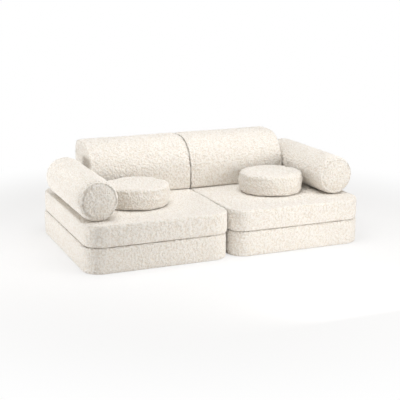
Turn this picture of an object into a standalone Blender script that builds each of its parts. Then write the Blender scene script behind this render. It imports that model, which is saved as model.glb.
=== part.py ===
"""Modular foam play sofa.

Two seats, each of two stacked mats, carry two arched backs, two bolsters and two round cushions. Each of the
ten modules is a foam core in its own zipped cover. X runs along the front, Y to the back and Z up, in metres,
and the origin is on the floor in the middle of the footprint.
"""

from math import cos, hypot, pi, radians, sin, tau

import bmesh
import bpy
from mathutils import Matrix, Vector

# Layout: the left lower mat stands a little further left than the mat on it
SEAT_WIDTH = 0.750
SEAT_DEPTH = 0.900
SEAT_GAP = 0.0008
LAY_GAP = 0.0003
LEFT_LOWER_SHIFT = 0.006

# Mats
LOWER_THICKNESS = 0.130
UPPER_THICKNESS = 0.110
MAT_CORNER_RADIUS = 0.095
MAT_EDGE_RADIUS = 0.016
MAT_DRAW_IN = 0.004
MAT_CROWN = 0.005
MAT_CROWN_MARGIN = 0.040
MAT_CORNER_STEPS = 4
MAT_SIDE_SHARES = (-0.5, 0.0, 0.5)

# Backs
BACK_DEPTH = 0.324
BACK_HEIGHT = 0.273
BACK_FRONT_RADIUS = 0.175
BACK_REAR_RADIUS = 0.085
BACK_FOOT_RADIUS = 0.018
BACK_END_RADIUS = 0.012
BACK_SWELL = 0.004
BACK_SETBACK = 0.020
BACK_SWELL_SHARES = ((-0.45, 0.6), (0.0, 1.0), (0.45, 0.6))
BACK_FOOT_STEPS = 2
BACK_REAR_STEPS = 4
BACK_FRONT_STEPS = 5

# Bolsters: the share is how much of the seat's depth that a bolster leaves free lies in front of it
BOLSTER_RADIUS = 0.104
BOLSTER_LENGTH = 0.660
BOLSTER_OVERHANG = 0.019
BOLSTER_SETTLE = 0.0045
BOLSTER_EDGE_RUN = 0.034
BOLSTER_EDGE_DROP = 0.016
BOLSTER_DOME = 0.006
BOLSTER_DOME_SHARES = (0.12, 0.5)
BOLSTER_SEAM_INSET = 0.013
BOLSTER_SEAM_RISE = 0.0025
BOLSTER_SIDES = 24
LEFT_BOLSTER_SHARE = 0.29
RIGHT_BOLSTER_SHARE = 0.56

# Round cushions
ROUND_RADIUS = 0.176
ROUND_THICKNESS = 0.110
ROUND_EDGE_RADIUS = 0.018
ROUND_CROWN = 0.006
ROUND_CROWN_SHARE = 0.5
ROUND_SIDES = 32
LEFT_ROUND_GAP = 0.026
RIGHT_ROUND_GAP = 0.022

# Each back fills its seat's width beside the bolster
BACK_LENGTH = SEAT_WIDTH + BOLSTER_OVERHANG - 2 * BOLSTER_RADIUS - LAY_GAP

# Covers and cores
COVER_WALL = 0.004
CORE_CLEARANCE = 0.0003
OUTER_STEPS = 3
INNER_STEPS = 2

# Zips: the tape lies in a rebate behind a lip of the cover
ZIP_LIP = 0.0020
ZIP_MOUTH = 0.0110
ZIP_REBATE = 0.0190
ZIP_CLEARANCE = 0.0003
ZIP_OVERRUN = 0.0030
TAPE_THICKNESS = 0.0012
COIL_NECK_WIDTH = 0.0040
COIL_NECK_HEIGHT = 0.0011
COIL_WIDTH = 0.0060
COIL_HEIGHT = 0.0017
STOP_LENGTH = 0.0040
STOP_RISE = 0.0007
STOP_RAMP = 0.0005
MAT_ZIP_MARGIN = 0.030
MAT_ZIP_LENGTH = SEAT_WIDTH - 2 * (MAT_CORNER_RADIUS + MAT_ZIP_MARGIN)
BACK_ZIP_MARGIN = 0.055
BACK_ZIP_LENGTH = BACK_LENGTH - 2 * BACK_ZIP_MARGIN
BACK_ZIP_HEIGHT = 0.060
BOLSTER_ZIP_MARGIN = 0.075
BOLSTER_ZIP_LENGTH = BOLSTER_LENGTH - 2 * BOLSTER_ZIP_MARGIN

# Where a zip lies round its cushion, and how far it runs there, as shares of a whole turn
BOLSTER_ZIP_TURN_SHARE = 0.125
ROUND_ZIP_REACH_SHARE = 0.25
ROUND_ZIP_STEPS = 2
LEFT_ROUND_ZIP_SHARE = -0.1875
RIGHT_ROUND_ZIP_SHARE = 0.0625

# Sliders and pulls
SLIDER_LENGTH = 0.0120
SLIDER_PLAY = 0.0004
SLIDER_WALL = 0.0010
SLIDER_FLANGE = 0.0005
SLIDER_NOSE_SHARES = ((-0.5, 0.86), (-0.2, 1.0), (0.3, 1.0), (0.5, 0.92))
BAIL_WIDTH = 0.0016
BAIL_BAR = 0.0009
BAIL_EYE = 0.0022
BAIL_ROOT = 0.0004
PULL_THICKNESS = 0.0010
PULL_LENGTH = 0.0240
PULL_WAIST = 0.0052
PULL_WIDTH = 0.0070
PULL_TAPER = 0.0038
PULL_EYE_CLEARANCE = 0.0004
PULL_TIP_STEPS = 4
HANGING = radians(90)

SHARP_ANGLE = radians(35)
REAR = Vector((0, 1, 0))
FABRIC_COLOR = (0.90, 0.87, 0.80, 1.0)
FOAM_COLOR = (0.86, 0.84, 0.66, 1.0)
TAPE_COLOR = (0.88, 0.85, 0.78, 1.0)
METAL_COLOR = (0.84, 0.82, 0.77, 1.0)


def clear_scene():
    for item in list(bpy.data.objects):
        bpy.data.objects.remove(item)


def make_material(name, color, roughness, metallic=0.0):
    material = bpy.data.materials.new(name)
    material.use_nodes = True
    shader = material.node_tree.nodes["Principled BSDF"]
    shader.inputs["Base Color"].default_value = color
    shader.inputs["Roughness"].default_value = roughness
    shader.inputs["Metallic"].default_value = metallic
    return material


def make_place(name, location):
    place = bpy.data.objects.new(name, None)
    place.location = location
    bpy.context.scene.collection.objects.link(place)
    return place


def loft(name, rings, place, matrix=None, material=None):
    """A closed body through rings of equally many points, capped at its first and its last ring.

    A body without a material is a cutter or a joined piece, which takes no part in a render.
    """
    shape = bmesh.new()
    rows = [[shape.verts.new(point) for point in ring] for ring in rings]
    for near, far in zip(rows, rows[1:]):
        for index in range(len(near)):
            after = (index + 1) % len(near)
            shape.faces.new((near[index], near[after], far[after], far[index]))
    shape.faces.new(list(reversed(rows[0])))
    shape.faces.new(rows[-1])
    bmesh.ops.recalc_face_normals(shape, faces=list(shape.faces))
    mesh = bpy.data.meshes.new(name)
    shape.to_mesh(mesh)
    shape.free()
    body = bpy.data.objects.new(name, mesh)
    bpy.context.scene.collection.objects.link(body)
    body.parent = place
    if matrix is not None:
        body.matrix_local = matrix
    if material:
        mesh.materials.append(material)
        mesh.shade_smooth()
        mesh.set_sharp_from_angle(angle=SHARP_ANGLE)
    else:
        body.hide_render = True
        body.display_type = "WIRE"
    return body


def combine(body, other, operation, label):
    modifier = body.modifiers.new(label, "BOOLEAN")
    modifier.operation = operation
    modifier.solver = "EXACT"
    modifier.object = other


def quarter(steps):
    """Angles of a quarter turn, from nothing to a right angle."""
    return [pi / 2 * step / steps for step in range(steps + 1)]


def mat_ring(inset, height):
    """The plan of a mat, drawn in between its corners except along its rear, where the zip runs."""
    half = (SEAT_WIDTH / 2, SEAT_DEPTH / 2)
    points = []
    for side in range(4):
        facing = side * pi / 2 - pi / 2
        out = Vector((cos(facing), sin(facing), 0))
        along = Vector((-sin(facing), cos(facing), 0))
        reach = half[(side + 1) % 2]
        run = half[side % 2] - MAT_CORNER_RADIUS
        is_rear = side == 2
        for share in () if is_rear else MAT_SIDE_SHARES:
            draw = MAT_DRAW_IN * cos(share * pi / 2) ** 2
            points.append(out * (reach - inset - draw) + along * (run * share))
        centre = out * (reach - MAT_CORNER_RADIUS) + along * run
        for turn in quarter(MAT_CORNER_STEPS):
            direction = out * cos(turn) + along * sin(turn)
            points.append(centre + direction * (MAT_CORNER_RADIUS - inset))
    return [point + Vector((0, 0, height)) for point in points]


def mat_rings(thickness, crown, inset, steps):
    radius = MAT_EDGE_RADIUS - inset
    shoulder = thickness - crown - inset
    rings = []
    for turn in quarter(steps):
        rings.append(mat_ring(inset + radius * (1 - sin(turn)), inset + radius * (1 - cos(turn))))
    for turn in reversed(quarter(steps)):
        rings.append(mat_ring(inset + radius * (1 - sin(turn)), shoulder - radius * (1 - cos(turn))))
    if crown:
        rings.append(mat_ring(MAT_EDGE_RADIUS + MAT_CROWN_MARGIN, thickness - inset))
    return rings


def back_ring(along, inset, swell):
    """The arched section of a back, swollen from its flat rear and base."""
    corners = (
        (BACK_DEPTH - BACK_FOOT_RADIUS, BACK_FOOT_RADIUS, BACK_FOOT_RADIUS, BACK_FOOT_STEPS),
        (BACK_DEPTH - BACK_REAR_RADIUS, BACK_HEIGHT - BACK_REAR_RADIUS, BACK_REAR_RADIUS, BACK_REAR_STEPS),
        (BACK_FRONT_RADIUS, BACK_HEIGHT - BACK_FRONT_RADIUS, BACK_FRONT_RADIUS, BACK_FRONT_STEPS),
        (BACK_FOOT_RADIUS, BACK_FOOT_RADIUS, BACK_FOOT_RADIUS, BACK_FOOT_STEPS),
    )
    scale = 1 + swell / BACK_HEIGHT
    points = []
    for index, (across, up, radius, steps) in enumerate(corners):
        for turn in quarter(steps):
            angle = turn + (index - 1) * pi / 2
            y = across + (radius - inset) * cos(angle)
            z = up + (radius - inset) * sin(angle)
            points.append(Vector((along, BACK_DEPTH - (BACK_DEPTH - y) * scale, z * scale)))
    return points


def back_rings(inset, steps):
    half = BACK_LENGTH / 2
    radius = BACK_END_RADIUS - inset
    rings = []
    for end in (-1, 1):
        turned = []
        for turn in quarter(steps):
            along = end * (half - inset - radius * (1 - cos(turn)))
            turned.append(back_ring(along, inset + radius * (1 - sin(turn)), 0))
        rings += turned if end < 0 else list(reversed(turned))
        if end < 0:
            for place_share, swell_share in BACK_SWELL_SHARES:
                rings.append(back_ring(BACK_LENGTH * place_share, inset, BACK_SWELL * swell_share))
    return rings


def turned_ring(axis, along, radius, sides):
    """A ring of flats round an axis, Y or Z, with one flat facing -Z or +Y."""
    points = []
    for side in range(sides):
        angle = tau * (side + 0.5) / sides - pi / 2
        if axis == "Y":
            points.append(Vector((radius * cos(angle), along, radius * sin(angle))))
        else:
            points.append(Vector((radius * cos(angle), radius * sin(angle), along)))
    return points


def settled(ring, rest):
    """A ring pressed flat where it bears, its lowest points slid up along their flats."""
    points = list(ring)
    for low, beside in ((0, 1), (-1, -2)):
        below = -rest - ring[low].z
        if below > 0:
            points[low] = ring[low].lerp(ring[beside], below / (ring[beside].z - ring[low].z))
    return points


def bolster_rest(inset):
    """The height of a bolster's axis over its pressed underside, drawn in by the inset."""
    return BOLSTER_RADIUS * cos(pi / BOLSTER_SIDES) - BOLSTER_SETTLE - inset


def bolster_body(profile, inset):
    """The rings of a bolster's half profile, listed from its end inwards, and of its mirror image."""
    rest = bolster_rest(inset)
    whole = [(-along, radius) for along, radius in profile] + list(reversed(profile))
    return [settled(turned_ring("Y", along, radius, BOLSTER_SIDES), rest) for along, radius in whole]


def bolster_rings():
    """A bolster's outside: a domed end panel, the ridge of its seam, a soft edge and the straight side."""
    panel = BOLSTER_RADIUS - BOLSTER_SEAM_INSET
    dome_depth_share, dome_radius_share = BOLSTER_DOME_SHARES
    profile = [
        (BOLSTER_DOME * dome_depth_share, panel * dome_radius_share),
        (BOLSTER_DOME, panel - BOLSTER_SEAM_RISE),
        (BOLSTER_DOME - BOLSTER_SEAM_RISE, panel),
        (BOLSTER_DOME + BOLSTER_SEAM_RISE, panel + BOLSTER_SEAM_RISE),
    ]
    for turn in quarter(INNER_STEPS)[1:]:
        depth = BOLSTER_DOME + BOLSTER_EDGE_RUN * (1 - cos(turn))
        profile.append((depth, BOLSTER_RADIUS - BOLSTER_EDGE_DROP * (1 - sin(turn))))
    return bolster_body([(BOLSTER_LENGTH / 2 - depth, radius) for depth, radius in profile], 0)


def bolster_core_rings(inset):
    """A bolster's hollow or its core: a plain end and a long chamfer."""
    side = BOLSTER_LENGTH / 2 - BOLSTER_DOME
    radius = BOLSTER_RADIUS - inset
    end = (side - inset, BOLSTER_RADIUS - BOLSTER_EDGE_DROP)
    return bolster_body([end, (side - BOLSTER_EDGE_RUN, radius)], inset)


def round_rings(inset, steps):
    edge = ROUND_EDGE_RADIUS - inset
    radius = ROUND_RADIUS - inset
    shoulder = ROUND_THICKNESS - ROUND_CROWN - inset
    profile = []
    for turn in quarter(INNER_STEPS):
        profile.append((inset + edge * (1 - cos(turn)), radius - edge * (1 - sin(turn))))
    for turn in reversed(quarter(steps)):
        profile.append((shoulder - edge * (1 - cos(turn)), radius - edge * (1 - sin(turn))))
    profile.append((ROUND_THICKNESS - inset, ROUND_RADIUS * ROUND_CROWN_SHARE))
    return [turned_ring("Z", along, size, ROUND_SIDES) for along, size in profile]


# A zip's frame has u along the zip, v across it and n out of the cover, whose face is at n = 0.


def frame(origin, u, n):
    v = n.cross(u)
    matrix = Matrix((u, v, n)).transposed().to_4x4()
    matrix.translation = origin
    return matrix


def straight_frames(middle, u, n, length, stations):
    """Frames along a straight zip, at distances from its ends."""
    distances = [-length / 2 + station for station in stations]
    distances += [-distance for distance in reversed(distances)]
    return [frame(middle + u * distance, u, n) for distance in distances]


def arc_frame(height, angle):
    n = Vector((-sin(angle), cos(angle), 0))
    return frame(n * ROUND_RADIUS + Vector((0, 0, height)), Vector((-cos(angle), -sin(angle), 0)), n)


def arc_angles(middle, reach, splits):
    return [middle + reach * (2 * index / splits - 1) for index in range(splits + 1)]


def sections(frames, profiles):
    return [[matrix @ Vector((0, v, n)) for v, n in profile] for matrix, profile in zip(frames, profiles)]


def mirrored(right):
    """The whole outline of a section, from its right half, listed upwards."""
    return right + [(-v, n) for v, n in reversed(right)]


def mouth_profile():
    """The slot through a cover: its mouth, and the wider rebate behind the lip."""
    floor = -COVER_WALL - CORE_CLEARANCE
    return mirrored([
        (ZIP_REBATE / 2, floor - ZIP_OVERRUN),
        (ZIP_REBATE / 2, -ZIP_LIP),
        (ZIP_MOUTH / 2, -ZIP_LIP),
        (ZIP_MOUTH / 2, ZIP_OVERRUN),
    ])


TAPE_TOP = -ZIP_LIP - ZIP_CLEARANCE
HEAD_BOTTOM = TAPE_TOP + COIL_NECK_HEIGHT
HEAD_TOP = HEAD_BOTTOM + COIL_HEIGHT


def chain_profile(rise=0.0):
    """A chain's section: the tapes, and the meshed coil on its neck, which rises at a stop."""
    tape = ZIP_REBATE / 2 - ZIP_CLEARANCE
    neck = COIL_NECK_WIDTH / 2
    head = COIL_WIDTH / 2 + rise
    return mirrored([
        (tape, TAPE_TOP - TAPE_THICKNESS),
        (tape, TAPE_TOP),
        (neck, TAPE_TOP),
        (neck, HEAD_BOTTOM),
        (head, HEAD_BOTTOM),
        (head, HEAD_TOP + rise),
    ])


SLIDER_CEILING = HEAD_TOP + SLIDER_PLAY
SLIDER_TOP = SLIDER_CEILING + SLIDER_WALL
PULL_AXIS = SLIDER_TOP + BAIL_EYE / 2


def slider_profile(share):
    """A slider's section: a channel over the coil, with flanges turned in under its head."""
    inner = COIL_WIDTH / 2 + ZIP_CLEARANCE
    outer = (inner + SLIDER_WALL) * share
    flange_top = HEAD_BOTTOM - SLIDER_PLAY
    flange_tip = COIL_NECK_WIDTH / 2 + ZIP_CLEARANCE
    return [
        (outer, flange_top - SLIDER_FLANGE),
        (outer, SLIDER_TOP),
        (-outer, SLIDER_TOP),
        (-outer, flange_top - SLIDER_FLANGE),
        (-flange_tip, flange_top - SLIDER_FLANGE),
        (-flange_tip, flange_top),
        (-inner, flange_top),
        (-inner, SLIDER_CEILING),
        (inner, SLIDER_CEILING),
        (inner, flange_top),
        (flange_tip, flange_top),
        (flange_tip, flange_top - SLIDER_FLANGE),
    ]


def bail_arch():
    """The outline of the bail in (u, n), out over its top and back round its eye."""
    eye = BAIL_EYE / 2
    reach = eye + BAIL_BAR
    foot = SLIDER_TOP - BAIL_ROOT
    eye_top = PULL_AXIS + eye
    over = eye_top + BAIL_BAR
    return mirrored([(eye, over), (reach, PULL_AXIS), (reach, foot), (eye, foot), (eye, eye_top)])


def make_slider(name, place, matrix, material):
    rings = []
    for place_share, width_share in SLIDER_NOSE_SHARES:
        rings.append([Vector((SLIDER_LENGTH * place_share, v, n)) for v, n in slider_profile(width_share)])
    slider = loft(name, rings, place, matrix, material)
    sides = [[Vector((u, side * BAIL_WIDTH / 2, n)) for u, n in bail_arch()] for side in (-1, 1)]
    bail = loft(name + "_bail", sides, place, matrix)
    combine(slider, bail, "UNION", "bail")
    return slider


def pull_outline():
    """The plan of a pull, from its cross bar at u = 0 to its rounded tip at -u."""
    eye = BAIL_EYE / 2
    bar = PULL_THICKNESS / 2
    shoulder = hypot(eye + BAIL_BAR, eye + BAIL_BAR) + PULL_THICKNESS
    tip = PULL_WIDTH / 2
    points = [(bar, tip), (-shoulder, tip), (-shoulder - PULL_TAPER, PULL_WAIST / 2)]
    for turn in quarter(PULL_TIP_STEPS)[:-1]:
        points.append((tip - PULL_LENGTH - tip * sin(turn), tip * cos(turn)))
    return points + [(-PULL_LENGTH, 0)] + [(u, -v) for u, v in reversed(points)]


def make_pull(name, place, matrix, rest, material):
    """A tab with an eye for the bail, made about the bail's axis and turned to where it lies at rest."""
    half = PULL_THICKNESS / 2
    turn = Matrix.Rotation(rest, 4, "Y")
    sides = [[turn @ Vector((u, v, n)) for u, v in pull_outline()] for n in (-half, half)]
    at_axis = matrix @ Matrix.Translation((0, 0, PULL_AXIS))
    pull = loft(name, sides, place, at_axis, material)
    inner = BAIL_WIDTH / 2 + PULL_EYE_CLEARANCE
    far = -hypot(BAIL_EYE / 2 + BAIL_BAR, BAIL_EYE / 2 + BAIL_BAR) - PULL_EYE_CLEARANCE
    corners = ((-half, -inner), (-half, inner), (far, inner), (far, -inner))
    cut = [[turn @ Vector((u, v, n)) for u, v in corners] for n in (-PULL_THICKNESS, PULL_THICKNESS)]
    combine(pull, loft(name + "_eye", cut, place, at_axis), "DIFFERENCE", "eye")
    return pull


def make_module(name, place, outer, inner, core, mouth_rings, chain_rings, materials):
    """A cover, hollow and slotted for its zip, with the foam core and the zip's chain in it."""
    cover = loft(name + "_cover", outer, place, material=materials["cover"])
    combine(cover, loft(name + "_hollow", inner, place), "DIFFERENCE", "hollow")
    combine(cover, loft(name + "_mouth", mouth_rings, place), "DIFFERENCE", "zip mouth")
    loft(name + "_core", core, place, material=materials["core"])
    loft(name + "_zip", chain_rings, place, material=materials["zip"])


def straight_zip(middle, u, n, length):
    """The rings of a straight zip's mouth and chain, and its slider's frame at the closed end."""
    mouth = sections(straight_frames(middle, u, n, length, (-ZIP_CLEARANCE,)), [mouth_profile()] * 2)
    stations = (0.0, STOP_LENGTH, STOP_LENGTH + STOP_RAMP)
    stop = [chain_profile(STOP_RISE)] * 2
    profiles = stop + [chain_profile()] * 2 + stop
    chain = sections(straight_frames(middle, u, n, length, stations), profiles)
    travel = length - 2 * (STOP_LENGTH + STOP_RAMP + ZIP_CLEARANCE) - SLIDER_LENGTH
    return mouth, chain, frame(middle + u * (travel / 2), u, n)


def arc_zip(height, turn_share):
    """The same for a zip round a round cushion, its middle turned from +Y by a share of a whole turn."""
    facet = tau / ROUND_SIDES
    middle = round(ROUND_SIDES * turn_share) * facet
    facets = round(ROUND_SIDES * ROUND_ZIP_REACH_SHARE)
    reach = facets * facet / 2
    splits = facets * ROUND_ZIP_STEPS
    mouth_reach = reach + ZIP_CLEARANCE / ROUND_RADIUS
    mouth_frames = [arc_frame(height, angle) for angle in arc_angles(middle, mouth_reach, splits)]
    mouth = sections(mouth_frames, [mouth_profile()] * (splits + 1))
    stop_turn = STOP_LENGTH / ROUND_RADIUS
    ramp_turn = (STOP_LENGTH + STOP_RAMP) / ROUND_RADIUS
    near, far = middle - reach, middle + reach
    angles = [near, near + stop_turn, near + ramp_turn] + arc_angles(middle, reach, splits)[1:-1]
    angles += [far - ramp_turn, far - stop_turn, far]
    stop = [chain_profile(STOP_RISE)] * 2
    profiles = stop + [chain_profile()] * (len(angles) - 4) + stop
    chain = sections([arc_frame(height, angle) for angle in angles], profiles)
    slider_turn = (SLIDER_LENGTH / 2 + ZIP_CLEARANCE) / ROUND_RADIUS
    return mouth, chain, arc_frame(height, far - ramp_turn - slider_turn)


def add_zip(name, place, slider_frame, rest, materials):
    make_slider(name + "_slider", place, slider_frame, materials["metal"])
    make_pull(name + "_pull", place, slider_frame, rest, materials["metal"])


def make_mat(name, x, base, thickness, crown, materials):
    place = make_place(name + "_place", (x, 0, base))
    middle = Vector((0, SEAT_DEPTH / 2, (thickness - crown) / 2))
    mouth, chain, slider_frame = straight_zip(middle, Vector((-1, 0, 0)), REAR, MAT_ZIP_LENGTH)
    core_inset = COVER_WALL + CORE_CLEARANCE
    outer = mat_rings(thickness, crown, 0, OUTER_STEPS)
    inner = mat_rings(thickness, crown, COVER_WALL, INNER_STEPS)
    core = mat_rings(thickness, crown, core_inset, INNER_STEPS)
    make_module(name, place, outer, inner, core, mouth, chain, materials)
    add_zip(name, place, slider_frame, 0, materials)


def make_back(name, x, base, materials):
    place = make_place(name + "_place", (x, SEAT_DEPTH / 2 - BACK_SETBACK - BACK_DEPTH, base))
    middle = Vector((0, BACK_DEPTH, BACK_ZIP_HEIGHT))
    mouth, chain, slider_frame = straight_zip(middle, Vector((-1, 0, 0)), REAR, BACK_ZIP_LENGTH)
    core_inset = COVER_WALL + CORE_CLEARANCE
    outer = back_rings(0, OUTER_STEPS)
    inner = back_rings(COVER_WALL, INNER_STEPS)
    core = back_rings(core_inset, INNER_STEPS)
    make_module(name, place, outer, inner, core, mouth, chain, materials)
    add_zip(name, place, slider_frame, 0, materials)


def make_bolster(name, x, front_share, base, materials):
    """A bolster rests on its pressed underside, and its zip runs low on its +X side."""
    flat_radius = BOLSTER_RADIUS * cos(pi / BOLSTER_SIDES)
    free = SEAT_DEPTH - BOLSTER_LENGTH
    place = make_place(name + "_place", (x, free * front_share - free / 2, base + bolster_rest(0)))
    turn = round(BOLSTER_SIDES * BOLSTER_ZIP_TURN_SHARE) * tau / BOLSTER_SIDES - pi / 2
    n = Vector((cos(turn), 0, sin(turn)))
    mouth, chain, slider_frame = straight_zip(n * flat_radius, REAR, n, BOLSTER_ZIP_LENGTH)
    inner = bolster_core_rings(COVER_WALL)
    core = bolster_core_rings(COVER_WALL + CORE_CLEARANCE)
    make_module(name, place, bolster_rings(), inner, core, mouth, chain, materials)
    add_zip(name, place, slider_frame, HANGING, materials)


def make_round(name, x, gap, zip_share, base, materials):
    """A round cushion lies in front of the back, with a gap between them."""
    back_front = SEAT_DEPTH / 2 - BACK_SETBACK - BACK_DEPTH
    place = make_place(name + "_place", (x, back_front - gap - ROUND_RADIUS, base))
    mouth, chain, slider_frame = arc_zip((ROUND_THICKNESS - ROUND_CROWN) / 2, zip_share)
    inner = round_rings(COVER_WALL, INNER_STEPS)
    core = round_rings(COVER_WALL + CORE_CLEARANCE, INNER_STEPS)
    make_module(name, place, round_rings(0, OUTER_STEPS), inner, core, mouth, chain, materials)
    add_zip(name, place, slider_frame, 0, materials)


def main():
    clear_scene()
    materials = {
        "cover": make_material("boucle", FABRIC_COLOR, 0.95),
        "core": make_material("foam", FOAM_COLOR, 0.90),
        "zip": make_material("zip_tape", TAPE_COLOR, 0.80),
        "metal": make_material("zip_metal", METAL_COLOR, 0.35, 0.9),
    }
    upper_base = LOWER_THICKNESS + LAY_GAP
    top = upper_base + UPPER_THICKNESS + LAY_GAP
    seat_x = (SEAT_GAP + SEAT_WIDTH) / 2
    back_x = (SEAT_GAP + BACK_LENGTH) / 2
    bolster_x = SEAT_GAP / 2 + BACK_LENGTH + LAY_GAP + BOLSTER_RADIUS
    round_x = bolster_x - BOLSTER_RADIUS - LAY_GAP - ROUND_RADIUS
    sides = {
        "left": (-1, LEFT_LOWER_SHIFT, LEFT_BOLSTER_SHARE, LEFT_ROUND_GAP, LEFT_ROUND_ZIP_SHARE),
        "right": (1, 0, RIGHT_BOLSTER_SHARE, RIGHT_ROUND_GAP, RIGHT_ROUND_ZIP_SHARE),
    }
    for side, (sign, lower_shift, front_share, round_gap, zip_share) in sides.items():
        make_mat(side + "_lower_mat", sign * (seat_x + lower_shift), 0, LOWER_THICKNESS, 0, materials)
        make_mat(side + "_upper_mat", sign * seat_x, upper_base, UPPER_THICKNESS, MAT_CROWN, materials)
        make_back(side + "_back", sign * back_x, top, materials)
        make_bolster(side + "_bolster", sign * bolster_x, front_share, top, materials)
        make_round(side + "_round", sign * round_x, round_gap, zip_share, top, materials)


main()
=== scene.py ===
"""Modular foam play sofa in teddy boucle covers.

One cushion of each kind starts a little small, is blown up as cloth and is cut for its zip. Its copies then
get their pile of tufts, and a chain of meshed teeth on two tapes lies in every slot. Places and outer sizes
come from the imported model, and the sizes below are in metres.
"""

from math import cos, pi, radians, sin, tau

import bmesh
import bpy
import numpy as np
from mathutils import Matrix, Vector


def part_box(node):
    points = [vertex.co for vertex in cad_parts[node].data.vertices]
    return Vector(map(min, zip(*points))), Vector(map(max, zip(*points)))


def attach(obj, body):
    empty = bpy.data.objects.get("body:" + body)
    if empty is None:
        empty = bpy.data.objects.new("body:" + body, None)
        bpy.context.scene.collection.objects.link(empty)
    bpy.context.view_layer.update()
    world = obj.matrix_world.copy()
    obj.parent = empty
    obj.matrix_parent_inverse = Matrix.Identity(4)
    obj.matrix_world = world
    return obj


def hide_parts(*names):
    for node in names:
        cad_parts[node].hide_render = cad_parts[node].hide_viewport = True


# The camera that sees the sofa as the photograph does
CAMERA_PLACE = Vector((-1.892, -4.533, 1.410))
CAMERA_YAW = radians(22.75)
CAMERA_PITCH = radians(13.84)
CAMERA_LENS = 84.6

# Forms of the cushions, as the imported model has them
MAT_CORNER = 0.095
MAT_EDGE = 0.012
BACK_FRONT_ROUND = 0.175
BACK_REAR_ROUND = 0.085
BACK_FOOT_ROUND = 0.018
BACK_END_ROUND = 0.009
BOLSTER_DOME = 0.006
BOLSTER_ROLL_RUN = 0.034
BOLSTER_ROLL_DROP = 0.014
ROUND_EDGE = 0.014

# Stuffing: how much smaller a form starts, how far the cloth may swell, and the grain of its mesh
EASE = 0.004
MAT_SWELL = 0.003
BACK_SWELL = 0.003
BOLSTER_SWELL = 0.004
ROUND_SWELL = 0.005
MAT_GRAIN = 0.008
BACK_GRAIN = 0.007
BOLSTER_GRAIN = 0.006
ROUND_GRAIN = 0.006
MAT_PRESSED = ((0, 0, 0.005), (0, 0, 0.005))
BACK_PRESSED = ((0.007, 0, 0.005), (0.007, 0, 0))
ROUND_PRESSED = ((0, 0, 0.004), (0, 0, 0.002))
PRESSURE = 4
SWELL_FRAMES = 20

# Pile of the cloth
TUFT_SIZE = 0.0095
TUFT_HEIGHT = 0.0044
TUFT_SINK_SHARE = 0.95
TUFT_BEND = 0.005
BARE_BAND = 0.007
FRINGE_SHARE = 0.35
SLACK_SIZE = 0.11
SLACK_HEIGHT = 0.0022
SEED_STEP = 3.7

# Curls and fibres of the pile, the painted shade deep in the pits between its tufts, and its colours at the
# tips
CURLS_PER_METRE = 170.0
FIBRES_PER_METRE = 700.0
CURL_HEIGHT = 0.0022
CURL_BEND = 0.006
CLOTH_PAINTED_PIT_SHADE = ((0.810, 0.745, 0.663, 1), (0.828, 0.766, 0.686, 1))
CLOTH_TIPS = ((0.928, 0.901, 0.857, 1), (0.934, 0.908, 0.865, 1))

# Seams of the bolsters' and the backs' end panels
BOLSTER_SEAM_INSET = 0.0125
BACK_SEAM_INSET = 0.0060
BOLSTER_SEAM_RISE = 0.0036
BACK_SEAM_RISE = 0.0006
SEAM_WIDTH = 0.0036
SEAM_SINK = 0.0034

# Zips
ZIP_MOUTH = 0.011
ZIP_DEPTH = 0.0046
ZIP_REACH = 0.030
FLAT_ZIP_HOLD = (0.030, 0.045)
ROUND_ZIP_HOLD = (0.010, 0.016)
TAPE_TOP = -0.0023
TAPE_THICKNESS = 0.0012
TAPE_REACH = 0.0092
TAPE_PARTING = 0.0004
TOOTH_PITCH = 0.0016
TOOTH_WIDTH = 0.0011
TOOTH_REACH = 0.0030
TOOTH_OVERLAP = 0.0009
TOOTH_RISE = 0.0028
NECK_REACH = 0.0020
NECK_RISE = 0.0011
STOP_LENGTH = 0.0040
STOP_RISE = 0.0007

# A tooth from its heel to its head: place across, rise of its underside, and shares of its width and rise.
# The heel stands clear of the tape, so that the slider's flanges pass under it.
TOOTH_STATIONS = (
    (-TOOTH_REACH, NECK_RISE, 0.80, 0.80),
    (-NECK_REACH - 0.0001, NECK_RISE, 0.80, 0.95),
    (-NECK_REACH + 0.0001, 0.0, 0.80, 0.95),
    (-TOOTH_REACH / 2, 0.0, 0.80, 1.00),
    (TOOTH_OVERLAP * 0.4, 0.0, 0.70, 1.00),
    (TOOTH_OVERLAP, 0.0, 1.00, 0.85),
)

# A stop from end to end: shares of its length, and of its width and rise
STOP_STATIONS = ((0.0, 0.8), (0.2, 1.0), (0.8, 1.0), (1.0, 0.8))

# Stage: a floor just under the sofa's foot, whose own light hides it beyond the shadow's reach
FLOOR_SIZE = 60.0
FLOOR_GAP = 0.0005
FLOOR_GREY = 0.90
SHADOW_REACH = 2.2
FLOOR_GLOW_SHARE = 0.60
WORLD_LIGHT = 0.30
WARM_WHITE = (1.0, 0.945, 0.878, 1)

# Soft lamps: place, what each points at, width, height, power and colour
LAMPS = {
    "top_softbox": ((-0.2, -0.4, 2.6), (-0.1, 0, 0.2), 2.2, 2.0, 46, (1, 1, 1)),
    "left_softbox": ((-2.7, 0.2, 0.45), (-0.4, 0, 0.15), 1.0, 0.6, 23, (1, 1, 1)),
    "right_softbox": ((2.3, -2.4, 1.3), (0.5, -0.2, 0.2), 1.2, 1.2, 36, (1, 1, 1)),
    "low_front_softbox": ((0.25, -1.35, 0.3), (0.25, -0.45, 0.15), 0.6, 0.4, 1.9, (1, 0.96, 0.90)),
}

SIDES = ("left", "right")
KINDS = ("lower_mat", "upper_mat", "back", "bolster", "round")
MODULES = [side + "_" + kind for side in SIDES for kind in KINDS]
REAR = Vector((0, 1, 0))

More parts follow.
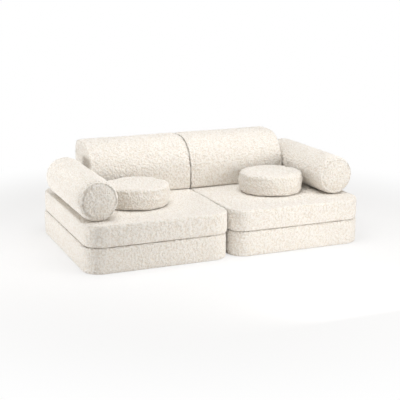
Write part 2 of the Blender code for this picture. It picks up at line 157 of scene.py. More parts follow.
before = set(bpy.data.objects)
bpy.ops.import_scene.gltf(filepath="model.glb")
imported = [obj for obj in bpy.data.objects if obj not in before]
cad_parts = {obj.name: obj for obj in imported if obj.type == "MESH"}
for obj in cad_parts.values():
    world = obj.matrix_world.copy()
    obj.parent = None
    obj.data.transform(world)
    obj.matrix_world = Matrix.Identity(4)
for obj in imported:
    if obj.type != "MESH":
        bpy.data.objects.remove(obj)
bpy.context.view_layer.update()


class Value:
    """A socket of numbers, whose plus, minus and times add the Math nodes that work the sum out."""

    def __init__(self, graph, socket):
        self.graph = graph
        self.socket = socket

    def maths(self, operation, first, second):
        return self.graph.add("ShaderNodeMath", {"operation": operation}, {0: first, 1: second})

    def __add__(self, other):
        return self.maths("ADD", self, other)

    def __sub__(self, other):
        return self.maths("SUBTRACT", self, other)

    def __rsub__(self, other):
        return self.maths("SUBTRACT", other, self)

    def __mul__(self, other):
        return self.maths("MULTIPLY", self, other)

    __radd__ = __add__
    __rmul__ = __mul__

    def between(self, low, high):
        """0 at the low value and 1 at the high one, eased between them."""
        settings = {"interpolation_type": "SMOOTHSTEP"}
        sockets = {"Value": self, "From Min": low, "From Max": high}
        return self.graph.add("ShaderNodeMapRange", settings, sockets)


class Graph:
    """A tree of nodes, each added by one method."""

    def __init__(self, tree):
        self.tree = tree
        self.tree.nodes.clear()

    def add(self, kind, settings=None, sockets=None, output=0):
        node = self.tree.nodes.new(kind)
        for name, value in (settings or {}).items():
            setattr(node, name, value)
        for name, value in (sockets or {}).items():
            if isinstance(value, Value):
                self.tree.links.new(value.socket, node.inputs[name])
            else:
                node.inputs[name].default_value = value
        return Value(self, node.outputs[output]) if len(node.outputs) else node

    def bend(self, place, wander, reach):
        """A place moved by up to the reach, the way a coloured noise wanders."""
        sockets = {0: wander, 1: (reach,) * 3, 2: place}
        return self.add("ShaderNodeVectorMath", {"operation": "MULTIPLY_ADD"}, sockets)

    def mix(self, share, first, second):
        """A colour between two others."""
        return self.add("ShaderNodeMix", {"data_type": "RGBA"}, {0: share, 6: first, 7: second}, output=2)


def new_finish(name):
    material = bpy.data.materials.new(name)
    material.use_nodes = True
    return material, Graph(material.node_tree)


def close_finish(graph, sockets):
    shader = graph.add("ShaderNodeBsdfPrincipled", None, sockets)
    graph.add("ShaderNodeOutputMaterial", None, {"Surface": shader})


def boucle_finish():
    """Cream teddy cloth: pale curled tips, painted warm shade in the pits between the tufts, and slow changes
    over a panel.
    """
    material, graph = new_finish("cream_boucle")
    place = graph.add("ShaderNodeTexCoord", output=3)
    pile = graph.add("ShaderNodeAttribute", {"attribute_name": "pile"}, output=2)
    wander = graph.add("ShaderNodeTexNoise", None, {"Vector": place, "Scale": 170.0, "Detail": 2.0}, output=1)
    bend = graph.bend(place, wander, CURL_BEND)
    curls = graph.add("ShaderNodeTexVoronoi", {"feature": "SMOOTH_F1"},
                      {"Vector": bend, "Scale": CURLS_PER_METRE, "Smoothness": 0.3})
    fibres = graph.add("ShaderNodeTexNoise", None, {"Vector": bend, "Scale": FIBRES_PER_METRE, "Detail": 3.0})
    patches = graph.add("ShaderNodeTexNoise", None, {"Vector": place, "Scale": 5.0, "Detail": 3.0})
    tip = 1 - curls.between(0.10, 0.80)
    # Painted shade: the colour turns darker and warmer where the pile is low, in the pits between the curls
    # and the tufts, underneath and in the zip's slot
    shade = pile * 0.5 + tip * 0.5
    painted_pit_shade = graph.mix(patches.between(0.30, 0.70), CLOTH_PAINTED_PIT_SHADE[0], CLOTH_PAINTED_PIT_SHADE[1])
    tips = graph.mix(patches.between(0.35, 0.65), CLOTH_TIPS[0], CLOTH_TIPS[1])
    colour = graph.mix(shade.between(0.05, 0.60), painted_pit_shade, tips)
    height = tip * 0.75 + fibres * 0.25
    bump = graph.add("ShaderNodeBump", None, {"Height": height, "Strength": 0.8, "Distance": CURL_HEIGHT})
    close_finish(graph, {
        "Base Color": colour, "Normal": bump, "Roughness": 0.95,
        "Sheen Weight": 0.3, "Sheen Roughness": 0.6, "Sheen Tint": (1.0, 0.97, 0.92, 1),
        "Specular IOR Level": 0.1,
    })
    return material


def foam_finish():
    """Pale upholstery foam, with its open cells."""
    material, graph = new_finish("pale_foam")
    place = graph.add("ShaderNodeTexCoord", output=3)
    cells = graph.add("ShaderNodeTexVoronoi", None, {"Vector": place, "Scale": 450.0})
    patches = graph.add("ShaderNodeTexNoise", None, {"Vector": place, "Scale": 14.0, "Detail": 2.0})
    colour = graph.mix(patches, (0.78, 0.74, 0.52, 1), (0.84, 0.81, 0.62, 1))
    bump = graph.add("ShaderNodeBump", None, {"Height": cells, "Strength": 0.5, "Distance": 0.001})
    close_finish(graph, {"Base Color": colour, "Normal": bump, "Roughness": 0.9})
    return material


def tape_finish():
    """The woven twill of a zip's tape and the nylon of its teeth."""
    material, graph = new_finish("cream_zip_tape")
    place = graph.add("ShaderNodeTexCoord", output=3)
    weave = graph.add("ShaderNodeTexWave", {"bands_direction": "DIAGONAL"}, {"Vector": place, "Scale": 620.0})
    worn = graph.add("ShaderNodeTexNoise", None, {"Vector": place, "Scale": 60.0, "Detail": 2.0})
    colour = graph.mix(worn.between(0.3, 0.7), (0.72, 0.66, 0.56, 1), (0.80, 0.75, 0.66, 1))
    bump = graph.add("ShaderNodeBump", None, {"Height": weave, "Strength": 0.4, "Distance": 0.0003})
    close_finish(graph, {"Base Color": colour, "Normal": bump, "Roughness": 0.75})
    return material


def metal_finish():
    """Satin nickel, a little rubbed."""
    material, graph = new_finish("satin_nickel")
    place = graph.add("ShaderNodeTexCoord", output=3)
    rubbed = graph.add("ShaderNodeTexNoise", None, {"Vector": place, "Scale": 340.0, "Detail": 4.0})
    colour = graph.mix(rubbed.between(0.35, 0.65), (0.60, 0.58, 0.54, 1), (0.72, 0.70, 0.66, 1))
    bump = graph.add("ShaderNodeBump", None, {"Height": rubbed, "Strength": 0.15, "Distance": 0.0002})
    rough = rubbed * 0.25 + 0.22
    close_finish(graph, {"Base Color": colour, "Normal": bump, "Roughness": rough, "Metallic": 1.0})
    return material


def new_tree(name, numbers, things=()):
    """A Geometry Nodes tree whose inputs are its geometry, its material, named numbers and named objects."""
    tree = bpy.data.node_groups.new(name, "GeometryNodeTree")
    graph = Graph(tree)
    tree.interface.new_socket("Geometry", in_out="OUTPUT", socket_type="NodeSocketGeometry")
    tree.interface.new_socket("Geometry", in_out="INPUT", socket_type="NodeSocketGeometry")
    tree.interface.new_socket("Material", in_out="INPUT", socket_type="NodeSocketMaterial")
    for number in numbers:
        tree.interface.new_socket(number, in_out="INPUT", socket_type="NodeSocketFloat")
    for thing in things:
        tree.interface.new_socket(thing, in_out="INPUT", socket_type="NodeSocketObject")
    given = tree.nodes.new("NodeGroupInput")
    return graph, {socket.name: Value(graph, socket) for socket in given.outputs if socket.name}


def close_tree(graph, geometry, given):
    real = graph.add("GeometryNodeRealizeInstances", None, {"Geometry": geometry})
    dressed = graph.add("GeometryNodeSetMaterial", None, {"Geometry": real, "Material": given["Material"]})
    graph.add("NodeGroupOutput", None, {"Geometry": dressed})


def pile_tree():
    """Raises a tuft round each cell of a bent pattern, where the cloth lies open."""
    numbers = ("Tuft Size", "Tuft Height", "Sink Share", "Slack Size", "Slack Height", "Seed")
    graph, given = new_tree("boucle_pile", numbers)
    place = graph.add("GeometryNodeInputPosition")
    normal = graph.add("GeometryNodeInputNormal")
    nap = graph.add("GeometryNodeInputNamedAttribute", {"data_type": "FLOAT"}, {"Name": "nap"})
    grain = graph.add("ShaderNodeMath", {"operation": "DIVIDE"}, {0: 1.0, 1: given["Tuft Size"]})
    apart = graph.add("ShaderNodeVectorMath", {"operation": "ADD"}, {0: place, 1: given["Seed"]})
    wander = graph.add("ShaderNodeTexNoise", None,
                       {"Vector": apart, "Scale": grain * 0.6, "Detail": 1.0}, output=1)
    bent = graph.bend(apart, wander, TUFT_BEND)
    cells = graph.add("ShaderNodeTexVoronoi", {"feature": "SMOOTH_F1"},
                      {"Vector": bent, "Scale": grain, "Smoothness": 0.4})
    uneven = graph.add("ShaderNodeTexNoise", None, {"Vector": apart, "Scale": grain * 0.25, "Detail": 2.0})
    tuft = 1 - cells.between(0.15, 0.75)
    height = tuft * (uneven * 0.8 + 0.6)
    loose = graph.add("ShaderNodeMath", {"operation": "DIVIDE"}, {0: 1.0, 1: given["Slack Size"]})
    slack = graph.add("ShaderNodeTexNoise", None, {"Vector": apart, "Scale": loose, "Detail": 1.0})
    pile = (height - given["Sink Share"]) * given["Tuft Height"]
    rise = (pile + (slack - 0.5) * given["Slack Height"]) * nap
    offset = graph.add("ShaderNodeVectorMath", {"operation": "SCALE"}, {0: normal, "Scale": rise})
    kept = graph.add("GeometryNodeStoreNamedAttribute", {"data_type": "FLOAT", "domain": "POINT"},
                     {"Geometry": given["Geometry"], "Name": "pile", "Value": height * nap})
    raised = graph.add("GeometryNodeSetPosition", None, {"Geometry": kept, "Offset": offset})
    close_tree(graph, raised, given)
    return graph.tree


def teeth_tree():
    """Meshes teeth along a slot's line: every other one is turned round, to reach over from the other tape."""
    graph, given = new_tree("zip_teeth", ("Spacing",), ("Tooth",))
    line = graph.add("GeometryNodeMeshToCurve", None, {"Mesh": given["Geometry"]})
    spots = graph.add("GeometryNodeResampleCurve", {"mode": "LENGTH"},
                      {"Curve": line, "Length": given["Spacing"]})
    out = graph.add("GeometryNodeInputNamedAttribute", {"data_type": "FLOAT_VECTOR"}, {"Name": "out"})
    along = graph.add("GeometryNodeInputTangent")
    number = graph.add("GeometryNodeInputIndex")
    turned = graph.add("ShaderNodeMath", {"operation": "MODULO"}, {0: number, 1: 2.0})
    facing = graph.add("ShaderNodeVectorMath", {"operation": "SCALE"}, {0: along, "Scale": 1 - turned * 2})
    axes = {"primary_axis": "Z", "secondary_axis": "X"}
    stance = graph.add("FunctionNodeAxesToRotation", axes, {0: out, 1: facing})
    tooth = graph.add("GeometryNodeObjectInfo", {"transform_space": "ORIGINAL"},
                      {"Object": given["Tooth"]}, output=4)
    row = graph.add("GeometryNodeInstanceOnPoints", None,
                    {"Points": spots, "Instance": tooth, "Rotation": stance})
    close_tree(graph, row, given)
    return graph.tree


def run_tree(body, tree, inputs, name):
    """The plain mesh that a tree makes of an object. The object is then removed."""
    modifier = body.modifiers.new(tree.name, "NODES")
    modifier.node_group = tree
    for item in tree.interface.items_tree:
        if item.in_out == "INPUT" and item.name in inputs:
            modifier[item.identifier] = inputs[item.name]
    body.update_tag()
    mesh = plain_mesh(body, name)
    remove_object(body)
    return mesh


def new_object(name, mesh):
    body = bpy.data.objects.new(name, mesh)
    bpy.context.scene.collection.objects.link(body)
    return body


def remove_object(body):
    mesh = body.data
    bpy.data.objects.remove(body)
    if not mesh.users:
        bpy.data.meshes.remove(mesh)


def plain_mesh(body, name):
    """What an object's modifiers make of it, as a mesh."""
    graph = bpy.context.evaluated_depsgraph_get()
    mesh = bpy.data.meshes.new_from_object(body.evaluated_get(graph))
    mesh.name = name
    return mesh


def points_of(mesh):
    flat = np.empty(len(mesh.vertices) * 3)
    mesh.vertices.foreach_get("co", flat)
    return flat.reshape(-1, 3)


def set_points(mesh, points):
    mesh.vertices.foreach_set("co", points.ravel())
    mesh.update()


def normals_of(mesh):
    flat = np.empty(len(mesh.vertices) * 3)
    mesh.vertex_normals.foreach_get("vector", flat)
    return flat.reshape(-1, 3)


def eased(values, low, high):
    """0 at the low value and 1 at the high one, eased between them."""
    share = np.clip((values - low) / (high - low), 0, 1)
    return share * share * (3 - 2 * share)


def quarter(steps):
    return [pi / 2 * step / steps for step in range(steps + 1)]


def add_loft(shape, rings):
    """A closed solid through rings of equally many points, added to a shape."""
    rows = [[shape.verts.new(point) for point in ring] for ring in rings]
    for near, far in zip(rows, rows[1:]):
        for index in range(len(near)):
            after = (index + 1) % len(near)
            shape.faces.new((near[index], near[after], far[after], far[index]))
    shape.faces.new(list(reversed(rows[0])))
    shape.faces.new(rows[-1])


def close_shape(shape, name):
    """The mesh of a shape of closed solids, with all faces turned outwards."""
    bmesh.ops.recalc_face_normals(shape, faces=list(shape.faces))
    mesh = bpy.data.meshes.new(name)
    shape.to_mesh(mesh)
    shape.free()
    return mesh


def loft(name, rings):
    shape = bmesh.new()
    add_loft(shape, rings)
    return close_shape(shape, name)


def mat_plan(half_width, half_depth, inset, height):
    """A rectangle with round corners, drawn in by the inset."""
    points = []
    for index, (side_x, side_y) in enumerate(((1, 1), (-1, 1), (-1, -1), (1, -1))):
        centre = Vector((side_x * (half_width - MAT_CORNER), side_y * (half_depth - MAT_CORNER), height))
        for turn in quarter(8):
            angle = turn + index * pi / 2
            points.append(centre + (MAT_CORNER - inset) * Vector((cos(angle), sin(angle), 0)))
    return points


def mat_form(size):
    """A mat that starts smaller by the ease on every side."""
    half_width, half_depth, thickness = size.x / 2, size.y / 2, size.z
    edge = MAT_EDGE - EASE
    rings = []
    low = [(EASE + edge * (1 - sin(turn)), EASE + edge * (1 - cos(turn))) for turn in quarter(6)]
    for inset, height in low:
        rings.append(mat_plan(half_width, half_depth, inset, height))
    for inset, height in reversed(low):
        rings.append(mat_plan(half_width, half_depth, inset, thickness - height))
    return loft("mat_form", rings)


def back_section(along, depth, height, inset):
    """The arched section of a back, from the foot of its rear over the top to the foot of its front."""
    corners = (
        (depth - BACK_FOOT_ROUND, BACK_FOOT_ROUND, BACK_FOOT_ROUND, 4),
        (depth - BACK_REAR_ROUND, height - BACK_REAR_ROUND, BACK_REAR_ROUND, 8),
        (BACK_FRONT_ROUND, height - BACK_FRONT_ROUND, BACK_FRONT_ROUND, 12),
        (BACK_FOOT_ROUND, BACK_FOOT_ROUND, BACK_FOOT_ROUND, 4),
    )
    points = []
    for index, (across, up, radius, steps) in enumerate(corners):
        for turn in quarter(steps):
            angle = turn + (index - 1) * pi / 2
            reach = radius - inset
            points.append(Vector((along, across + reach * cos(angle), up + reach * sin(angle))))
    return points


def back_form(size):
    half = size.x / 2
    edge = BACK_END_ROUND - EASE
    near = []
    for turn in quarter(5):
        inset = EASE + edge * (1 - sin(turn))
        near.append((EASE - half + edge * (1 - cos(turn)), inset))
    rings = [back_section(along, size.y, size.z, inset) for along, inset in near]
    rings += [back_section(-along, size.y, size.z, inset) for along, inset in reversed(near)]
    return loft("back_form", rings)


def turned_form(name, profile, axis, sides):
    """A round form: a profile of places along the axis and radii."""
    rings = []
    for along, radius in profile:
        ring = []
        for side in range(sides):
            angle = tau * side / sides
            across, up = radius * cos(angle), radius * sin(angle)
            ring.append(Vector((across, along, up)) if axis == "Y" else Vector((across, up, along)))
        rings.append(ring)
    return loft(name, rings)


def bolster_form(size):
    """A bolster: a domed panel at each end and a long soft roll to its side."""
    half = size.y / 2 - EASE
    radius = size.x / 2 - EASE
    panel = radius - BOLSTER_ROLL_DROP
    near = [(-half, panel / 2), (BOLSTER_DOME / 2 - half, panel * 0.85)]
    for turn in quarter(6):
        along = BOLSTER_DOME + BOLSTER_ROLL_RUN * (1 - cos(turn)) - half
        near.append((along, radius - BOLSTER_ROLL_DROP * (1 - sin(turn))))
    far = [(-along, reach) for along, reach in reversed(near)]
    return turned_form("bolster_form", near + far, "Y", 72)


def sew(mesh, points, ends, within, ridge):
    """The ridge where an end panel is sewn to a cushion's side, and the valley inside it."""
    rise = ridge * np.exp(-(within / SEAM_WIDTH) ** 2)
    rise -= SEAM_SINK * np.exp(-((within - 2 * SEAM_WIDTH) / SEAM_WIDTH) ** 2)
    set_points(mesh, points + normals_of(mesh) * (rise * ends)[:, None])


def sew_bolster(mesh, size):
    points = points_of(mesh)
    ends = np.abs(points[:, 1]) > size.y / 2 - BOLSTER_ROLL_RUN / 2
    within = size.x / 2 - BOLSTER_SEAM_INSET - np.hypot(points[:, 0], points[:, 2])
    sew(mesh, points, ends, within, BOLSTER_SEAM_RISE)


def sew_back(mesh, size):
    """The end panels of a back follow its arch, down to where the foot bears."""
    points = points_of(mesh)
    half_depth, half_height = size.y / 2, size.z / 2
    across, up = points[:, 1] - half_depth, points[:, 2] - half_height
    bend = np.where(across > 0, BACK_REAR_ROUND, BACK_FRONT_ROUND)
    bend = np.where(up > 0, bend, BACK_FOOT_ROUND)
    past_side = np.abs(across) - half_depth + bend
    past_top = np.abs(up) - half_height + bend
    corner = np.hypot(np.maximum(past_side, 0), np.maximum(past_top, 0))
    inside = bend - corner - np.minimum(np.maximum(past_side, past_top), 0)
    ends = eased(np.abs(points[:, 0]), size.x / 2 - BACK_END_ROUND, size.x / 2 - BACK_END_ROUND / 2)
    ends *= eased(points[:, 2], 0, BACK_FOOT_ROUND)
    sew(mesh, points, ends, inside - BACK_SEAM_INSET, BACK_SEAM_RISE)


def round_form(size):
    radius = size.x / 2 - EASE
    edge = ROUND_EDGE - EASE
    low = [(EASE + edge * (1 - cos(turn)), radius - edge * (1 - sin(turn))) for turn in quarter(5)]
    high = [(size.z - along, reach) for along, reach in reversed(low)]
    return turned_form("round_form", low + high, "Z", 96)


def remeshed(mesh, grain):
    """Even squares of the cloth's grain all over a form."""
    body = new_object("form", mesh)
    squares = body.modifiers.new("squares", "REMESH")
    squares.mode = "VOXEL"
    squares.voxel_size = grain
    even = body.modifiers.new("even", "SMOOTH")
    even.factor = 0.5
    even.iterations = 2
    made = plain_mesh(body, "squares")
    remove_object(body)
    return made


def blown_up(mesh, most):
    """The cloth under pressure, with no point further than the most from where it began."""
    start = points_of(mesh)
    body = new_object("cloth", mesh)
    cloth = body.modifiers.new("pressure", "CLOTH")
    cloth.settings.use_pressure = True
    cloth.settings.uniform_pressure_force = PRESSURE
    cloth.settings.effector_weights.gravity = 0
    for moment in range(1, SWELL_FRAMES + 1):
        bpy.context.scene.frame_set(moment)
    swollen = plain_mesh(body, "swollen")
    move = points_of(swollen) - start
    body.modifiers.remove(cloth)
    bpy.data.objects.remove(body)
    bpy.data.meshes.remove(swollen)
    bpy.context.scene.frame_set(1)
    far = np.linalg.norm(move, axis=1, keepdims=True)
    return start + move * np.minimum(1, most / np.maximum(far, most / 100))


class Slot:
    """Where a zip lies: points along the face of the cover, each with the way out of it."""

    def __init__(self, points, outs):
        self.points = points
        self.outs = outs

    def frames(self):
        """Along, across and out at each point."""
        for index, (point, out) in enumerate(zip(self.points, self.outs)):
            before = self.points[max(index - 1, 0)]
            after = self.points[min(index + 1, len(self.points) - 1)]
            along = (after - before).normalized()
            yield point, along, out.cross(along), out

    def sweep(self, section):
        """Rings of a section, given across and out, along the slot."""
        rings = []
        for point, along, across, out in self.frames():
            rings.append([point + across * aside + out * up for aside, up in section])
        return rings

    def between_stops(self):
        """The slot's points, with its ends drawn in to the first and the last tooth."""
        points = list(self.points)
        drawn_in = STOP_LENGTH + TOOTH_PITCH / 4
        points[0] = points[0] + (points[1] - points[0]).normalized() * drawn_in
        points[-1] = points[-1] - (points[-1] - points[-2]).normalized() * drawn_in
        return points

    def nearest(self, spots):
        """For each spot, how far it is from the slot and how high it stands out of the face there."""
        best = np.full(len(spots), np.inf)
        height = np.zeros(len(spots))
        outs = np.zeros((len(spots), 3))
        for index in range(len(self.points) - 1):
            start = np.array(self.points[index])
            step = np.array(self.points[index + 1]) - start
            share = np.clip((spots - start) @ step / (step @ step), 0, 1)
            away = spots - start - share[:, None] * step
            near_out, far_out = np.array(self.outs[index]), np.array(self.outs[index + 1])
            out = near_out * (1 - share[:, None]) + far_out * share[:, None]
            rise = np.einsum("ij,ij->i", away, out)
            far = np.linalg.norm(away - rise[:, None] * out, axis=1)
            facing = np.abs(rise) < ZIP_REACH
            closer = facing & (far < best)
            best[closer] = far[closer]
            height[closer] = rise[closer]
            outs[closer] = out[closer]
        return best, height, outs


def straight_slot(middle, along, out, length):
    half = along * (length / 2)
    return Slot([middle - half, middle + half], [out, out])


def arc_slot(radius, height, middle, reach):
    """A slot round a cushion's side, its angles measured from the rear."""
    steps = 24
    angles = [middle + reach * (1 - 2 * step / steps) for step in range(steps + 1)]
    outs = [Vector((-sin(angle), cos(angle), 0)) for angle in angles]
    return Slot([out * radius + Vector((0, 0, height)) for out in outs], outs)


def stuffed(form, grain, most, low, high, pressed, slot, hold):
    """A form blown up to fill its box, brought to the zip's face, pressed flat where it bears and smoothed.

    Pressed holds how far each low side and each high side would bulge past the flat faces that press them.
    Hold is how wide a band the zip keeps to its face, and how far beyond the band that fades.
    """
    mesh = remeshed(form, grain)
    points = blown_up(mesh, most)
    least = np.array(low) - np.array(pressed[0])
    greatest = np.array(high) + np.array(pressed[1])
    share = (points - points.min(0)) / (points.max(0) - points.min(0))
    points = least + share * (greatest - least)
    far, height, outs = slot.nearest(points)
    held = 1 - eased(far, hold[0], sum(hold))
    points -= outs * (height * held)[:, None]
    points = np.clip(points, low, high)
    set_points(mesh, points)
    body = new_object("stuffed", mesh)
    finer = body.modifiers.new("finer", "SUBSURF")
    finer.levels = finer.render_levels = 1
    made = plain_mesh(body, "stuffed")
    remove_object(body)
    return made


def cut_slot(mesh, slot):
    """The slot of a zip, cut into a stuffed cushion."""
    body = new_object("cushion", mesh)
    half = ZIP_MOUTH / 2
    section = [(-half, -ZIP_DEPTH), (half, -ZIP_DEPTH), (half, ZIP_REACH / 2), (-half, ZIP_REACH / 2)]
    cutter = new_object("slot", loft("slot", slot.sweep(section)))
    cut = body.modifiers.new("slot", "BOOLEAN")
    cut.operation = "DIFFERENCE"
    cut.solver = "EXACT"
    cut.object = cutter
    made = plain_mesh(body, "slotted")
    remove_object(body)
    remove_object(cutter)
    return made


def lay_nap(mesh, low, slot, end_axis):
    """How freely the pile stands: not underneath nor in the slot, and tallest at the end panels' edges."""
    points = points_of(mesh)
    far, height, outs = slot.nearest(points)
    nap = eased(points[:, 2], low, low + BARE_BAND)
    nap *= eased(far, ZIP_MOUTH / 2, ZIP_MOUTH / 2 + BARE_BAND)
    turn = np.abs(normals_of(mesh)[:, end_axis])
    nap *= 1 + FRINGE_SHARE * eased(turn, 0.15, 0.45) * (1 - eased(turn, 0.85, 0.99))
    attribute = mesh.attributes.new("nap", "FLOAT", "POINT")
    attribute.data.foreach_set("value", nap.astype(np.float32))


def moved_copy(mesh, name, matrix):
    copy = mesh.copy()
    copy.name = name
    copy.transform(matrix)
    return copy


def dress_cushion(module, mesh, matrix, kit):
    """A module's cushion with its pile raised, in place of its plain cover and core."""
    body = new_object(module + "_form", moved_copy(mesh, module + "_form", matrix))
    inputs = {
        "Material": kit.boucle,
        "Tuft Size": TUFT_SIZE, "Tuft Height": TUFT_HEIGHT, "Sink Share": TUFT_SINK_SHARE,
        "Slack Size": SLACK_SIZE, "Slack Height": SLACK_HEIGHT,
        "Seed": SEED_STEP * (1 + MODULES.index(module)),
    }
    piece = new_object(module + "_cushion", run_tree(body, kit.pile, inputs, module + "_cushion"))
    piece.data.shade_smooth()
    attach(piece, module)
    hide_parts(module + "_cover", module + "_core")


def tooth_body():
    """One tooth: a bar from its tape over the middle, narrow where its neighbours' heads pass it."""
    shape = bmesh.new()
    rings = []
    for across, underside, width_share, rise_share in TOOTH_STATIONS:
        half = TOOTH_WIDTH * width_share / 2
        low = TAPE_TOP + underside
        top = TAPE_TOP + TOOTH_RISE * rise_share
        outline = (
            (-half, low), (half, low), (half, top - half / 2),
            (half / 2, top), (-half / 2, top), (-half, top - half / 2),
        )
        rings.append([Vector((along, across, out)) for along, out in outline])
    add_loft(shape, rings)
    return new_object("tooth", close_shape(shape, "tooth"))


def row_of_teeth(slot, kit):
    """The meshed teeth between the stops of a slot."""
    points = slot.between_stops()
    line = bpy.data.meshes.new("tooth_line")
    line.from_pydata(points, [(index, index + 1) for index in range(len(points) - 1)], [])
    way_out = line.attributes.new("out", "FLOAT_VECTOR", "POINT")
    way_out.data.foreach_set("vector", np.array(slot.outs, dtype=np.float32).ravel())
    inputs = {"Spacing": TOOTH_PITCH / 2, "Tooth": kit.tooth, "Material": kit.tape}
    return run_tree(new_object("tooth_line", line), kit.teeth, inputs, "teeth")


def zip_chain(module, slot, matrix, kit):
    """Two tapes, two rows of meshed teeth and a stop at each end."""
    shape = bmesh.new()
    teeth = row_of_teeth(slot, kit)
    shape.from_mesh(teeth)
    bpy.data.meshes.remove(teeth)
    tape_floor = TAPE_TOP - TAPE_THICKNESS
    for side in (-1, 1):
        inner, outer = side * TAPE_PARTING / 2, side * TAPE_REACH
        section = [(inner, tape_floor), (outer, tape_floor), (outer, TAPE_TOP), (inner, TAPE_TOP)]
        add_loft(shape, slot.sweep(section))
    frames = list(slot.frames())
    for end, (point, along, across, out) in ((1, frames[0]), (-1, frames[-1])):
        rings = []
        for along_share, size_share in STOP_STATIONS:
            half = (TOOTH_REACH + STOP_RISE) * size_share
            top = TAPE_TOP + (TOOTH_RISE + STOP_RISE) * size_share
            middle = point + along * (end * STOP_LENGTH * along_share)
            outline = ((-half, TAPE_TOP), (half, TAPE_TOP), (half, top), (-half, top))
            rings.append([middle + across * aside + out * up for aside, up in outline])
        add_loft(shape, rings)
    mesh = close_shape(shape, module + "_chain")
    mesh.transform(matrix)
    mesh.materials.append(kit.tape)
    piece = new_object(module + "_chain", mesh)
    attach(piece, module)
    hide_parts(module + "_zip")


def box_facts(node):
    """The low corner, the high corner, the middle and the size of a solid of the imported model."""
    low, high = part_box(node)
    return low, high, (low + high) / 2, high - low


def packed_solid(name):
    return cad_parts[name]


def make_mats(level, kit):
    """Both mats of a level are the same cushion."""
    low, high, middle, size = box_facts("left_" + level + "_cover")
    zip_low, zip_high, zip_middle, zip_size = box_facts("left_" + level + "_zip")
    slot = straight_slot(Vector((0, size.y / 2, zip_middle.z - low.z)), Vector((-1, 0, 0)), REAR, zip_size.x)
    low = (-size.x / 2, -size.y / 2, 0)
    high = (size.x / 2, size.y / 2, size.z)
    mesh = stuffed(mat_form(size), MAT_GRAIN, MAT_SWELL, low, high, MAT_PRESSED, slot, FLAT_ZIP_HOLD)
    mesh = cut_slot(mesh, slot)
    lay_nap(mesh, 0, slot, 2)
    for side in SIDES:
        low, high, middle, size = box_facts(side + "_" + level + "_cover")
        matrix = Matrix.Translation((middle.x, middle.y, low.z))
        finish_module(side + "_" + level, mesh, slot, matrix, kit)


def make_backs(kit):
    low, high, middle, size = box_facts("left_back_cover")
    zip_low, zip_high, zip_middle, zip_size = box_facts("left_back_zip")
    slot = straight_slot(Vector((0, size.y, zip_middle.z - low.z)), Vector((-1, 0, 0)), REAR, zip_size.x)
    low = (-size.x / 2, 0, 0)
    high = (size.x / 2, size.y, size.z)
    mesh = stuffed(back_form(size), BACK_GRAIN, BACK_SWELL, low, high, BACK_PRESSED, slot, FLAT_ZIP_HOLD)
    sew_back(mesh, size)
    mesh = cut_slot(mesh, slot)
    lay_nap(mesh, 0, slot, 0)
    for side in SIDES:
        low, high, middle, size = box_facts(side + "_back_cover")
        matrix = Matrix.Translation((middle.x, low.y, low.z))
        finish_module(side + "_back", mesh, slot, matrix, kit)


def make_bolsters(kit):
    low, high, middle, size = box_facts("left_bolster_cover")
    zip_low, zip_high, zip_middle, zip_size = box_facts("left_bolster_zip")
    radius = size.x / 2
    rest = size.z - radius
    out = Vector((1, 0, -1)).normalized()
    slot = straight_slot(out * radius, REAR, out, zip_size.y)
    low = (-radius, -size.y / 2, -rest)
    high = (radius, size.y / 2, radius)
    pressed = ((0, 0, radius - rest), (0, 0, 0))
    mesh = stuffed(bolster_form(size), BOLSTER_GRAIN, BOLSTER_SWELL, low, high, pressed, slot, ROUND_ZIP_HOLD)
    sew_bolster(mesh, size)
    mesh = cut_slot(mesh, slot)
    lay_nap(mesh, -rest, slot, 1)
    for side in SIDES:
        low, high, middle, size = box_facts(side + "_bolster_cover")
        matrix = Matrix.Translation((middle.x, middle.y, low.z + rest))
        finish_module(side + "_bolster", mesh, slot, matrix, kit)


def make_rounds(kit):
    """One round cushion, turned so that its slot comes to where each side's zip lies.

    The cover's box lies within its facets' corners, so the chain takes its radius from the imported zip.
    """
    low, high, middle, size = box_facts("left_round_cover")
    zip_low, zip_high, zip_middle, zip_size = box_facts("left_round_zip")
    turns = {}
    for side in SIDES:
        centre = box_facts(side + "_round_cover")[2]
        spots = points_of(packed_solid(side + "_round_zip").data) - np.array(centre)
        angles = np.arctan2(-spots[:, 0], spots[:, 1])
        turns[side] = (angles.min() + angles.max()) / 2
        reach = (angles.max() - angles.min()) / 2
    zip_radius = np.hypot(spots[:, 0], spots[:, 1]).max() - (TAPE_TOP + TOOTH_RISE + STOP_RISE)
    slot = arc_slot(size.x / 2, zip_middle.z - low.z, 0.0, reach)
    chain_slot = arc_slot(zip_radius, zip_middle.z - low.z, 0.0, reach)
    low = (-size.x / 2, -size.y / 2, 0)
    high = (size.x / 2, size.y / 2, size.z)
    mesh = stuffed(round_form(size), ROUND_GRAIN, ROUND_SWELL, low, high, ROUND_PRESSED, slot, ROUND_ZIP_HOLD)
    mesh = cut_slot(mesh, slot)
    lay_nap(mesh, 0, slot, 2)
    for side in SIDES:
        low, high, middle, size = box_facts(side + "_round_cover")
        matrix = Matrix.Translation((middle.x, middle.y, low.z)) @ Matrix.Rotation(turns[side], 4, "Z")
        finish_module(side + "_round", mesh, chain_slot, matrix, kit)


def finish_module(module, mesh, slot, matrix, kit):
    """Everything that is seen of a module: its cushion, its zip's chain, its slider and its pull."""
    dress_cushion(module, mesh, matrix, kit)
    zip_chain(module, slot, matrix, kit)
    give_finish(packed_solid(module + "_slider"), kit.metal)
    give_finish(packed_solid(module + "_pull"), kit.metal)
    give_finish(packed_solid(module + "_core"), kit.foam)


def give_finish(body, finish):
    if not body.material_slots:
        body.data.materials.append(finish)
    for slot in body.material_slots:
        slot.material = finish


def soft_light(name, place, towards, width, height, power, colour):
    lamp = bpy.data.lights.new(name, "AREA")
    lamp.shape = "RECTANGLE"
    lamp.size = width
    lamp.size_y = height
    lamp.energy = power
    lamp.color = colour
    body = bpy.data.objects.new(name, lamp)
    body.location = place
    body.rotation_euler = (Vector(towards) - Vector(place)).to_track_quat("-Z", "Y").to_euler()
    bpy.context.scene.collection.objects.link(body)


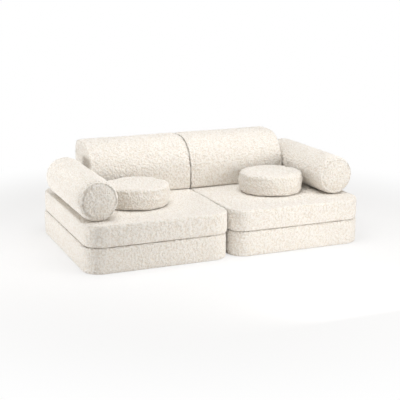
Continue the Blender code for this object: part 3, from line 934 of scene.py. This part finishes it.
def make_floor():
    """A white floor that keeps the sofa's shadow."""
    shape = bmesh.new()
    bmesh.ops.create_grid(shape, x_segments=1, y_segments=1, size=FLOOR_SIZE / 2)
    mesh = bpy.data.meshes.new("studio_floor")
    shape.to_mesh(mesh)
    shape.free()
    floor = new_object("studio_floor", mesh)
    floor.location.z = -FLOOR_GAP
    material, graph = new_finish("white_floor")
    seen = graph.add("ShaderNodeLightPath")
    diffuse = graph.add("ShaderNodeBsdfDiffuse", None, {"Color": (FLOOR_GREY, FLOOR_GREY, FLOOR_GREY, 1)})
    glow = graph.add("ShaderNodeEmission", None, {"Color": (1, 1, 1, 1), "Strength": 1.0})
    place = graph.add("ShaderNodeTexCoord", output=3)
    away = graph.add("ShaderNodeVectorMath", {"operation": "LENGTH"}, {0: place}, output=1)
    share = away.between(SHADOW_REACH / 2, SHADOW_REACH) * (1 - FLOOR_GLOW_SHARE) + FLOOR_GLOW_SHARE
    blend = graph.add("ShaderNodeMixShader", None, {0: seen * share, 1: diffuse, 2: glow})
    graph.add("ShaderNodeOutputMaterial", None, {"Surface": blend})
    mesh.materials.append(material)


def make_surround():
    """A surround that the camera sees white, and that lights the sofa more warmly and more weakly."""
    world = bpy.data.worlds.new("studio")
    world.use_nodes = True
    graph = Graph(world.node_tree)
    rays = graph.add("ShaderNodeLightPath").socket.node.outputs
    seen = Value(graph, rays["Is Camera Ray"])
    mirrored = Value(graph, rays["Is Glossy Ray"])
    through = Value(graph, rays["Is Transmission Ray"])
    shown = seen.maths("MAXIMUM", seen, mirrored.maths("MAXIMUM", mirrored, through))
    strength = shown * (1.0 - WORLD_LIGHT) + WORLD_LIGHT
    colour = graph.mix(shown, WARM_WHITE, (1, 1, 1, 1))
    light = graph.add("ShaderNodeBackground", None, {"Color": colour, "Strength": strength})
    graph.add("ShaderNodeOutputWorld", None, {"Surface": light})
    bpy.context.scene.world = world


def make_camera():
    camera = bpy.data.objects.new("camera", bpy.data.cameras.new("camera"))
    camera.data.lens = CAMERA_LENS
    camera.location = CAMERA_PLACE
    level = cos(CAMERA_PITCH)
    look = Vector((sin(CAMERA_YAW) * level, cos(CAMERA_YAW) * level, -sin(CAMERA_PITCH)))
    camera.rotation_euler = look.to_track_quat("-Z", "Y").to_euler()
    bpy.context.scene.collection.objects.link(camera)
    bpy.context.scene.camera = camera


class Kit:
    """What every module is dressed with: the finishes, the node trees and one tooth."""

    def __init__(self):
        self.boucle = boucle_finish()
        self.tape = tape_finish()
        self.metal = metal_finish()
        self.foam = foam_finish()
        self.pile = pile_tree()
        self.teeth = teeth_tree()
        self.tooth = tooth_body()


def main():
    kit = Kit()
    make_mats("lower_mat", kit)
    make_mats("upper_mat", kit)
    make_backs(kit)
    make_bolsters(kit)
    make_rounds(kit)
    remove_object(kit.tooth)
    make_floor()
    make_surround()
    for name, facts in LAMPS.items():
        soft_light(name, *facts)
    make_camera()
    bpy.context.scene.view_settings.view_transform = "Standard"


main()
